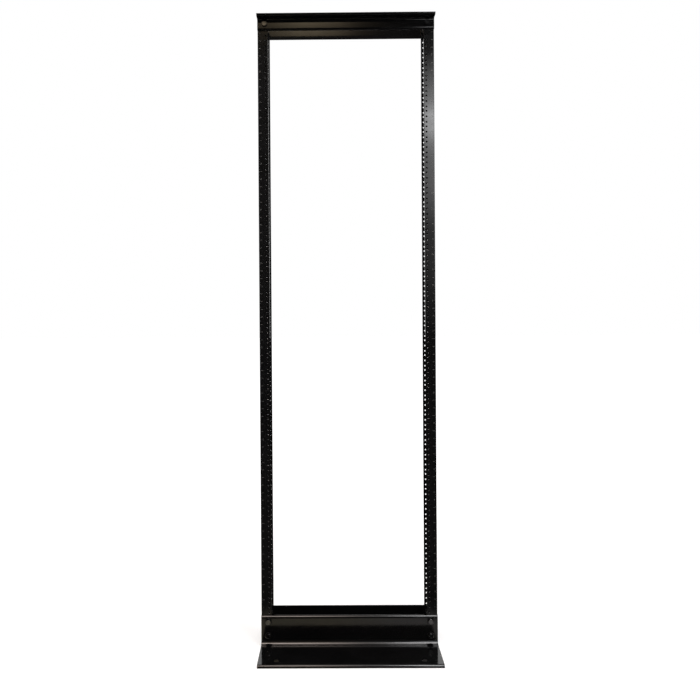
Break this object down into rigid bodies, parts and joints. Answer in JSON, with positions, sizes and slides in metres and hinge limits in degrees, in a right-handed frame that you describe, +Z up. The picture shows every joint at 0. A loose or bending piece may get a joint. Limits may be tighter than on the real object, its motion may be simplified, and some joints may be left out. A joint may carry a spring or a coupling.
{
  "type": "two-post open frame equipment rack",
  "caption": "Open frame equipment rack with two channel uprights, drilled flanges, angle bars across the feet and heads, and bolted corners.",
  "frame": {"origin": "centre of the rack's footprint, on the floor", "axes": "+X to the right seen from the front, +Y from the front to the back, +Z up"},
  "size_m": [0.5112, 0.381, 1.8225],
  "materials": {
    "upright_coat": "satin",
    "angle_coat": "satin",
    "bolt_steel": "satin",
    "washer_steel": "satin"
  },
  "bodies": {
    "root": {"upright_left": "upright_coat", "upright_right": "upright_coat", "base_angle_front": "angle_coat", "base_angle_rear": "angle_coat", "top_angle_front": "angle_coat", "top_angle_rear": "angle_coat", "top_bolt_front_left": "bolt_steel", "top_bolt_front_right": "bolt_steel", "top_bolt_rear_left": "bolt_steel", "top_bolt_rear_right": "bolt_steel", "top_nut_front_left": "bolt_steel", "top_nut_front_right": "bolt_steel", "top_nut_rear_left": "bolt_steel", "top_nut_rear_right": "bolt_steel", "base_bolt_front_left_low": "bolt_steel", "base_bolt_front_left_high": "bolt_steel", "base_bolt_front_right_low": "bolt_steel", "base_bolt_front_right_high": "bolt_steel", "base_bolt_rear_left_low": "bolt_steel", "base_bolt_rear_left_high": "bolt_steel", "base_bolt_rear_right_low": "bolt_steel", "base_bolt_rear_right_high": "bolt_steel", "base_washer_front_left_low": "washer_steel", "base_washer_front_left_high": "washer_steel", "base_washer_front_right_low": "washer_steel", "base_washer_front_right_high": "washer_steel", "base_washer_rear_left_low": "washer_steel", "base_washer_rear_left_high": "washer_steel", "base_washer_rear_right_low": "washer_steel", "base_washer_rear_right_high": "washer_steel", "base_nut_front_left_low": "bolt_steel", "base_nut_front_left_high": "bolt_steel", "base_nut_front_right_low": "bolt_steel", "base_nut_front_right_high": "bolt_steel", "base_nut_rear_left_low": "bolt_steel", "base_nut_rear_left_high": "bolt_steel", "base_nut_rear_right_low": "bolt_steel", "base_nut_rear_right_high": "bolt_steel"}
  },
  "joints": []
}
